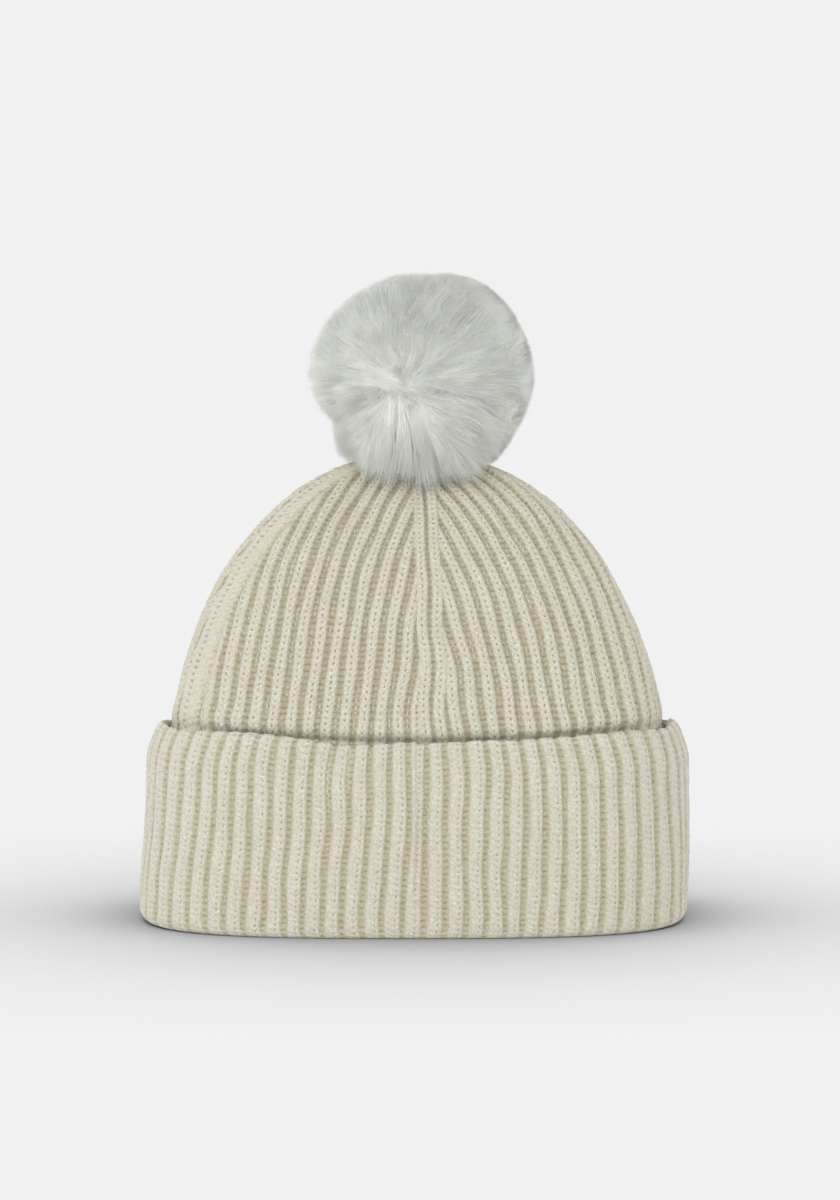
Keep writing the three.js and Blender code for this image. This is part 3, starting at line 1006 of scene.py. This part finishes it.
def crown_surface(x, y):
    """Height of the crown's dome, and 0 outside the plan."""
    powers = np.abs(x / CROWN_WIDTH) ** OVAL_POWER + np.abs(y / CROWN_DEPTH) ** OVAL_POWER
    out = powers ** (1 / OVAL_POWER)
    inside = np.clip(1 - out ** (2 / DOME_FULLNESS), 0, 1)
    return np.where(out < 1, WALL_TOP + (CROWN_TOP - WALL_TOP) * np.sqrt(inside), 0)


def outline_reach(ways, depth_reach):
    """Reach of the pile in mm along each direction, and how far the direction faces sideways or up."""
    angle = np.degrees(np.arctan2(ways[..., 2], ways[..., 0])) % 360
    outline = np.array(FUR_OUTLINE)
    seen = np.interp(angle, outline[:, 0], outline[:, 1], period=360)
    flat = ways[..., 0] ** 2 + ways[..., 2] ** 2
    return depth_reach + (seen - depth_reach) * flat, flat


def clumped_tips(ways, draw):
    """Tip directions drawn together into swept clumps, with each strand's clump and its reach."""
    clumps = even_directions(CLUMPS, draw, 0.05)
    tree = KDTree(CLUMPS)
    for index, way in enumerate(clumps):
        tree.insert(way, index)
    tree.balance()
    nearest = np.array([tree.find(way)[1] for way in ways])
    clump_reach = draw.normal(0, 0.026, CLUMPS)[nearest]
    pull = draw.uniform(0.1, 0.5, CLUMPS)[nearest][:, None]
    swept = unit(clumps + draw.normal(0, 0.075, clumps.shape))
    pull = pull * (1 - 0.6 * (ways[:, :1] ** 2 + ways[:, 2:] ** 2))
    tips = unit(ways * (1 - pull) + swept[nearest] * pull)
    tips = unit(tips + draw.normal(0, 0.02, tips.shape))
    return tips, nearest, clump_reach


def strand_reach(tips, clump_reach, draw):
    """Each strand's reach in metres, the reach of its tip, and how much it hangs at the front below."""
    count = len(tips)
    reach, flat = outline_reach(tips, PILE_DEPTH)
    hang = smooth_step(0.3, 0.75, -tips[:, 2]) * smooth_step(0.0, 0.4, -tips[:, 1])
    hang = hang * (1 - smooth_step(0.3, 0.66, np.abs(tips[:, 0])))
    uneven = 1 - 0.9 * flat
    short = 0.010 + (0.04 + 0.10 * (draw.uniform(0, 1, count) < 0.3)) * uneven
    reach = reach * 1.018 * (1 + clump_reach * uneven) * (1 - short * draw.uniform(0, 1, count) ** 1.6) * MM
    stray = draw.uniform(0, 1, count) < 0.012
    tip_reach = np.where(stray, reach * draw.uniform(1.0, 1.03, count), reach) * (1 + 0.35 * hang)
    return reach, tip_reach, hang


def leaned_roots(ways):
    """Root directions of a pile that leans away from both whorls, and the angle from the back whorl."""
    whorl = np.array(WHORL)
    whorl /= np.linalg.norm(whorl)
    from_whorl = np.arccos(np.clip(ways @ whorl, -1, 1))
    from_back_whorl = math.pi - from_whorl
    before_parting = smooth_step(PARTING, PARTING - 0.35, from_whorl)
    past_parting = smooth_step(PARTING, PARTING + 0.35, from_whorl)
    front_bend = smooth_step(-0.05, 0.45, from_whorl) * before_parting
    back_bend = smooth_step(-0.05, 0.45, from_back_whorl) * past_parting
    roots = turn_towards(ways, whorl, LEAN * (front_bend - back_bend))
    sway = np.stack([soft_noise(ways[:, 0] * 1.6 + seed, ways[:, 2] * 1.6 + ways[:, 1], 40 + seed)
                     for seed in range(3)], axis=1)
    tangle = np.stack([soft_noise(ways[:, 0] * 3.1 + ways[:, 1], ways[:, 2] * 3.1 - ways[:, 1], 46 + seed, 14)
                       for seed in range(3)], axis=1)
    at_whorl = 1 - smooth_step(0.1, 0.6, np.minimum(from_whorl, from_back_whorl))
    at_parting = np.exp(-((from_whorl - PARTING) / 0.3) ** 2)
    tangling = (0.05 + 0.20 * at_whorl + 0.30 * at_parting)[:, None]
    return unit(roots + 0.13 * sway + tangling * tangle), from_back_whorl


def grow_strands():
    """Root, middle, tip, direction and tint of each strand, and the draw for what follows."""
    draw = np.random.default_rng(2026)
    ways = even_directions(STRANDS, draw, 0.004)
    ways = ways[ways[:, 2] > OPEN_BELOW]
    tips, nearest, clump_reach = clumped_tips(ways, draw)
    reach, tip_reach, hang = strand_reach(tips, clump_reach, draw)
    roots, from_back_whorl = leaned_roots(ways)
    tip_reach = tip_reach * (1 - BACK_DIMPLE * np.exp(-(from_back_whorl / 0.32) ** 2))

    centre = np.array(POM_CENTRE)
    root_radius = ROOT_SHARE * reach
    middle_radius = MIDDLE_SHARE * reach * (1 + 0.08 * hang)
    root = centre + roots * root_radius[:, None]
    middle = centre + unit(roots * 0.75 + tips * 0.25) * middle_radius[:, None]
    tip = centre + tips * tip_reach[:, None]
    middle = middle + draw.normal(0, 0.35 * MM, middle.shape)
    tints = draw.integers(0, TINTS, CLUMPS)[nearest] + draw.integers(-3, 4, len(ways))
    return root, middle, tip, ways, tints % TINTS, draw


def lie_on_crown(points, lift):
    """Lifts points that would be inside the crown onto its knit."""
    surface = crown_surface(points[..., 0], points[..., 1]) + lift
    points = points.copy()
    points[..., 2] = np.maximum(points[..., 2], surface)
    return points


def strand_piece(name, root, middle, tip, tint, thickness):
    """Three-sided strands that taper to a point."""
    count = len(root)
    shares = np.array([0, 0.36, 0.7, 1.0])
    place = shares[None, :, None]
    curve = (1 - place) ** 2 * root[:, None] + 2 * place * (1 - place) * middle[:, None]
    curve = curve + place ** 2 * tip[:, None]
    curve = np.concatenate([curve[:, :1], lie_on_crown(curve[:, 1:], 1.3 * MM)], axis=1)
    ahead = unit(tip - root)
    draw = np.random.default_rng(count)
    side = unit(np.cross(ahead, draw.normal(0, 1, ahead.shape)))
    over = np.cross(ahead, side)
    widths = np.array([1.0, 0.95, 0.8])[None, :] * thickness[:, None]
    turns = np.radians([0, 120, 240])
    around = np.cos(turns)[None, :, None] * side[:, None] + np.sin(turns)[None, :, None] * over[:, None]
    rings = curve[:, :3, None] + widths[:, :, None, None] * around[:, None]
    points = np.concatenate([rings.reshape(count, 9, 3), curve[:, 3:]], axis=1).reshape(-1, 3)

    first = (np.arange(count) * 10)[:, None, None]
    quads = np.array([[k * 3 + s, k * 3 + (s + 1) % 3, k * 3 + 3 + (s + 1) % 3, k * 3 + 3 + s]
                      for k in range(2) for s in range(3)])
    ends = np.array([[6 + s, 6 + (s + 1) % 3, 9] for s in range(3)])
    column = tint[:, None, None] / TINTS
    wide, narrow = column + 0.15 / TINTS, column + 0.85 / TINTS
    quad_up = np.array([[shares[k], shares[k], shares[k + 1], shares[k + 1]]
                        for k in range(2) for _ in range(3)])
    quad_across = np.concatenate([wide, narrow, narrow, wide], axis=2).repeat(6, axis=1)
    end_up = np.array([[shares[2], shares[2], 1.0]] * 3)
    end_across = np.concatenate([wide, narrow, (wide + narrow) / 2], axis=2).repeat(3, axis=1)
    quad_map = np.stack([quad_across, np.broadcast_to(quad_up, quad_across.shape)], axis=3)
    end_map = np.stack([end_across, np.broadcast_to(end_up, end_across.shape)], axis=3)
    layer = np.concatenate([quad_map.reshape(-1, 2), end_map.reshape(-1, 2)])
    faces = [(first + quads).reshape(-1, 4), (first + ends).reshape(-1, 3)]
    piece = make_piece(name, points, faces, faux_fur, {BAKE_LAYER: layer})
    outward = unit(points - np.array(POM_CENTRE) + (0, 0, 16 * MM))
    own = np.concatenate([np.broadcast_to(around[:, None], (count, 3, 3, 3)).reshape(count, 9, 3),
                          ahead[:, None]], axis=1).reshape(-1, 3)
    piece.data.normals_split_custom_set_from_vertices(unit(0.72 * outward + 0.28 * own))
    return piece


def build_under_fur():
    """The dense short pile under the long strands, open round the socket."""
    rows, columns = 220, 480
    rise = np.linspace(-0.62, math.pi / 2, rows)[:, None]
    turn = np.linspace(0, 2 * math.pi, columns + 1)[None]
    ways = np.stack([np.cos(rise) * np.sin(turn), -np.cos(rise) * np.cos(turn),
                     np.broadcast_to(np.sin(rise), (rows, columns + 1))], axis=2)
    reach = outline_reach(ways, UNDER_FUR_DEPTH)[0] * UNDER_FUR_SHARE * MM
    tufts = 0.5 * soft_noise(ways[:, :, 0] * 9, ways[:, :, 2] * 9 + ways[:, :, 1] * 5, 61, 16)
    fine = 0.3 * soft_noise(ways[:, :, 0] * 26 + ways[:, :, 1] * 11, ways[:, :, 2] * 26, 62, 16)
    reach = reach + (tufts + fine) * MM * smooth_step(math.pi / 2, 1.2, rise)
    outside = np.array(POM_CENTRE) + ways * reach[:, :, None]
    share = np.linspace(0, 1, 14)[1:, None]
    last = outside[0]
    mouth_radius = 14.5 * MM
    mouth = np.stack([mouth_radius * np.sin(turn[0]), -mouth_radius * np.cos(turn[0]),
                      np.full(columns + 1, fur_box[0].z + 7 * MM)], axis=1)
    belly = last[None] * (1 - share[:, :, None]) + mouth[None] * share[:, :, None]
    belly[:, :, 2] -= 2.2 * MM * np.sin(math.pi * share)
    points = np.concatenate([belly[::-1], outside])
    tint_place = np.linspace(0, 0.999, columns + 1)[None]
    places = np.stack([np.broadcast_to(tint_place, points.shape[:2]),
                       np.full(points.shape[:2], 0.45)], axis=2)
    layers = {BAKE_LAYER: at_corners(places)}
    piece = make_piece("under_fur", points.reshape(-1, 3), [grid_faces(*points.shape[:2])], faux_fur, layers)
    settle(piece, "pom", "faux_fur", "pom_fur")


def build_fur():
    """The pile, cut into a skirt that lies on the crown, a top and six sides."""
    root, middle, tip, ways, tint, draw = grow_strands()
    thickness = STRAND_RADIUS * draw.uniform(0.7, 1.25, len(root))
    skirt = tip[:, 2] < SKIRT_TOP
    turn = np.degrees(np.arctan2(ways[:, 0], -ways[:, 1])) % 360
    upper = ways[:, 2] > 0.62
    zones = {"fur_skirt": skirt, "fur_top": ~skirt & upper}
    for index, side in enumerate(("front", "front_right", "back_right", "back", "back_left", "front_left")):
        zones["fur_" + side] = ~skirt & ~upper & ((turn + 30) // 60 % 6 == index)
    for name, chosen in zones.items():
        body = "snap_socket_body" if name == "fur_skirt" else "pom"
        piece = strand_piece(name, root[chosen], middle[chosen], tip[chosen], tint[chosen], thickness[chosen])
        settle(piece, body, "faux_fur", "pom_fur")


def ball_rows(radius, centre_z, mouth, rows, columns, shape):
    """Points of a ball with a round mouth below. shape gives each point's share of the radius."""
    start = -math.acos(mouth / radius)
    rise = np.linspace(start, math.pi / 2 - 0.002, rows)[:, None]
    turn = np.linspace(0, 2 * math.pi, columns + 1)[None]
    factor = shape(rise, turn)
    ring = radius * np.cos(rise) * factor
    points = [ring * np.sin(turn), -ring * np.cos(turn), centre_z + radius * np.sin(rise) * factor]
    return np.stack([np.broadcast_to(part, factor.shape) for part in points], axis=2)


def build_backing():
    """The sack of pile backing, pleated where the thread draws its mouth closed."""
    def pleated(rise, turn):
        mouthward = smooth_step(-0.5, -1.15, rise)
        loops = 0.006 * np.sin(110 * rise) * np.cos(40 * turn)
        return 1 - 0.012 - 0.05 * mouthward * (0.5 + 0.5 * np.cos(18 * turn)) + loops
    points = ball_rows(SACK_RADIUS, SACK_CENTRE_Z, 8 * MM, 110, 220, pleated)
    piece = make_piece("pile_backing", points.reshape(-1, 3), [grid_faces(*points.shape[:2])], backing_knit)
    settle(piece, "pom", "pom_backing", "pom_backing")


def build_stuffing():
    """The wad of fibre inside the sack, a little lumpy and flat below."""
    low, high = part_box("pom_stuffing")
    radius = (high.x - low.x) / 2
    def lumpy(rise, turn):
        lumps = soft_noise(np.sin(turn) * 2.2, np.cos(turn) * 2.2 + rise * 2, 51)
        return 0.975 + 0.02 * lumps * np.cos(rise)
    points = ball_rows(radius, high.z - radius, 3 * MM, 90, 160, lumpy)
    points[:, :, 2] = np.maximum(points[:, :, 2], low.z)
    faces = [grid_faces(*points.shape[:2])]
    piece = make_piece("fibre_stuffing", points.reshape(-1, 3), faces, stuffing_fibre)
    settle(piece, "pom", "stuffing", "pom_stuffing")


# ---------------------------------------------------------------- yarns, seam, patch and label

def twisted_ring(name, radius, height, ply, twists, material):
    """Two plies twisted round each other into a ring."""
    turn = np.linspace(0, 2 * math.pi, 24 * twists, endpoint=False)
    paths = []
    for start in (0, math.pi):
        swing = twists * turn + start
        ring = radius + 0.9 * ply * np.cos(swing)
        path = [ring * np.sin(turn), -ring * np.cos(turn), height + 0.9 * ply * np.sin(swing)]
        paths.append(np.stack(path, axis=1))
    return tubes(name, paths, ply, material, 8, closed=True)


def seam_route(inset):
    """The line down the centre back that the seam follows, from its foot up the dome."""
    foot_points, dome_points = 120, 400
    angle = np.radians(np.linspace(0, 78, dome_points))
    half_depth = (CROWN_DEPTH - inset) * np.cos(angle) ** DOME_FULLNESS
    height = WALL_TOP + (CROWN_TOP - WALL_TOP - inset) * np.sin(angle)
    foot = np.linspace(seam_box[0].z + 1 * MM, WALL_TOP, foot_points, endpoint=False)
    depth = np.concatenate([np.full(foot_points, CROWN_DEPTH - inset), half_depth])
    line = np.stack([depth, np.concatenate([foot, height])], axis=1)
    return even_steps(line, np.full(foot_points + dome_points, 0.35 * MM))


def build_seam():
    """Linked seam: three yarns plaited flat along the centre back, on the inside."""
    route, place = seam_route(KNIT_THICKNESS + 1.4 * MM)
    ahead = np.gradient(route, axis=0)
    ahead /= np.linalg.norm(ahead, axis=1, keepdims=True)
    inward = np.stack([-ahead[:, 1], ahead[:, 0]], axis=1)
    paths = []
    for strand in range(3):
        swing = 2 * math.pi * (place / (7.5 * MM) + strand / 3)
        lift = 0.45 * MM * np.sin(2 * swing)
        spot = route + inward * lift[:, None]
        paths.append(np.stack([1.6 * MM * np.sin(swing), spot[:, 0], spot[:, 1]], axis=1))
    piece = tubes("linked_seam", paths, 0.62 * MM, seam_thread, 8)
    settle(piece, "hat", "seam_thread", "back_seam")


def build_patch():
    """Felt disc under the top of the crown, with a pressed rim."""
    rim = [[3, -6.1], [10.2, -6.25], [10.8, -6.0], [11, -5.5], [10.8, -5.0], [10.2, -4.85], [3, -4.8],
           [3, -6.1]]
    piece = turned("felt_patch", rim, felt, 96, 0.3 * MM)
    for point in piece.data.vertices:
        way = math.atan2(point.co.x, point.co.y)
        spread = 1 + 0.012 * math.sin(7 * way) + 0.008 * math.sin(17 * way + 1)
        point.co.x *= spread
        point.co.y *= spread
    settle(piece, "hat", "felt", "crown_patch")
    stitch_count = 20
    paths = []
    for index in range(stitch_count):
        way = 2 * math.pi * index / stitch_count
        reach = np.linspace(0, 1, 9)
        radius = (8.6 + 2.1 * reach) * MM
        height = CROWN_TOP - (6.25 + 0.35 * np.sin(math.pi * reach)) * MM
        paths.append(np.stack([radius * math.sin(way), -radius * math.cos(way), height], axis=1))
    stitches = tubes("patch_stitches", paths, 0.3 * MM, gather_yarn, 8)
    settle(stitches, "hat", "gather_yarn", "crown_patch")


def build_label():
    """Blank woven label: a ribbon sewn to the back seam at its top, a little bowed."""
    low, high = label_box
    width, length = high.x - low.x, high.z - low.z
    across = np.linspace(-0.5, 0.5, 23)[None]
    down = np.linspace(0, 1, 39)[:, None]
    bow = 0.35 * MM * np.sin(down * math.pi) + 0.25 * MM * np.cos(across * 2 * math.pi) * down
    x = np.broadcast_to(across * width, bow.shape)
    y = (low.y + high.y) / 2 + bow - 0.2 * MM
    z = np.broadcast_to(low.z + down * length, bow.shape)
    points = np.stack([x, y, z], axis=2)
    piece = make_piece("care_ribbon", points.reshape(-1, 3), [grid_faces(39, 23)], label_satin)
    body = piece.modifiers.new("ribbon thickness", "SOLIDIFY")
    body.thickness = 0.3 * MM
    body.offset = 0
    settle(piece, "hat", "label_satin", "care_label")
    paths = []
    for index in range(9):
        x = (index - 4) / 4.6 * width / 2 + np.linspace(-0.8, 0.8, 7) * MM
        arch = 0.35 * MM * np.cos(np.linspace(-1.4, 1.4, 7))
        y = (low.y + high.y) / 2 - 0.35 * MM - arch
        paths.append(np.stack([x, y, np.full(7, high.z - 2.2 * MM)], axis=1))
    stitches = tubes("label_stitches", paths, 0.16 * MM, seam_thread, 6)
    settle(stitches, "hat", "seam_thread", "care_label")


# ---------------------------------------------------------------- the press stud

def build_press_stud():
    """Post and stud in the crown; socket, spring, base disc and rivet cap under the pom."""
    post = [[0, -7.8], [5.4, -7.8], [6.2, -7.6], [6.5, -7.2], [6.5, -6.6], [5.6, -6.6], [1.4, -6.6],
            [1.4, 2.6], [0, 2.6]]
    settle(turned("stud_post", post, nickel), "snap_stud_body", "nickel", "snap_post")
    stud = [[0, 2.9], [1.7, 2.9], [1.7, 0.3], [4.7, 0.3], [5, 0.6], [4.9, 1.0], [3.4, 1.25], [2.4, 1.15],
            [2.1, 1.5], [2.15, 2.4], [2.45, 3.1], [2.5, 3.6], [2.35, 4.1], [1.8, 4.4], [1.2, 4.3], [0, 4.25]]
    settle(turned("stud_ball", stud, nickel), "snap_stud_body", "nickel", "snap_stud")
    socket = [[2.8, 2.8], [2.8, 2.4], [3.1, 2.2], [5.0, 2.2], [5.4, 2.45], [6.2, 2.45], [6.5, 2.8],
              [6.5, 5.2], [6.2, 5.6], [1.9, 5.6], [1.9, 4.9], [4.2, 4.2], [4.2, 2.8], [2.8, 2.8]]
    settle(turned("stud_socket", socket, nickel), "snap_socket_body", "nickel", "snap_socket")
    disc = [[1.9, 5.9], [10.6, 5.9], [11.2, 5.75], [11.9, 6.1], [12, 6.8], [11.6, 7.4], [10.9, 7.5],
            [1.9, 7.5], [1.9, 5.9]]
    settle(turned("base_disc", disc, base_plastic), "snap_socket_body", "base_plastic", "pom_base_disc")
    cap = [[0, 5], [1.5, 5], [1.5, 7.8], [6.6, 7.8], [7, 8.1], [6.8, 8.6], [5.2, 9.0], [2.2, 8.9], [0, 8.75]]
    settle(turned("rivet_cap", cap, nickel), "snap_socket_body", "nickel", "snap_cap")
    turn = np.radians(np.linspace(14, 346, 120))
    radius = 3.5 * MM
    height = np.full(len(turn), CROWN_TOP + 3.5 * MM)
    ring = np.stack([radius * np.sin(turn), -radius * np.cos(turn), height], axis=1)
    settle(tubes("socket_spring", [ring], 0.34 * MM, nickel, 12), "snap_socket_body", "nickel", "snap_spring")


def build_gathers():
    """The yarn ring that closes the crown, and the thread round the pom's neck."""
    crown_ring = twisted_ring("crown_gathering", 6.9 * MM, CROWN_TOP + 1.1 * MM, 0.42 * MM, 16, gather_yarn)
    settle(crown_ring, "hat", "gather_yarn", "crown_gather_yarn")
    neck = twisted_ring("neck_thread", 5.5 * MM, CROWN_TOP + 12.5 * MM, 0.5 * MM, 13, gather_yarn)
    settle(neck, "pom_neck", "gather_yarn", "pom_gather_thread")


build_stage()
build_crown()
build_cuff()
build_under_fur()
build_fur()
build_backing()
build_stuffing()
build_gathers()
build_seam()
build_patch()
build_label()
build_press_stud()
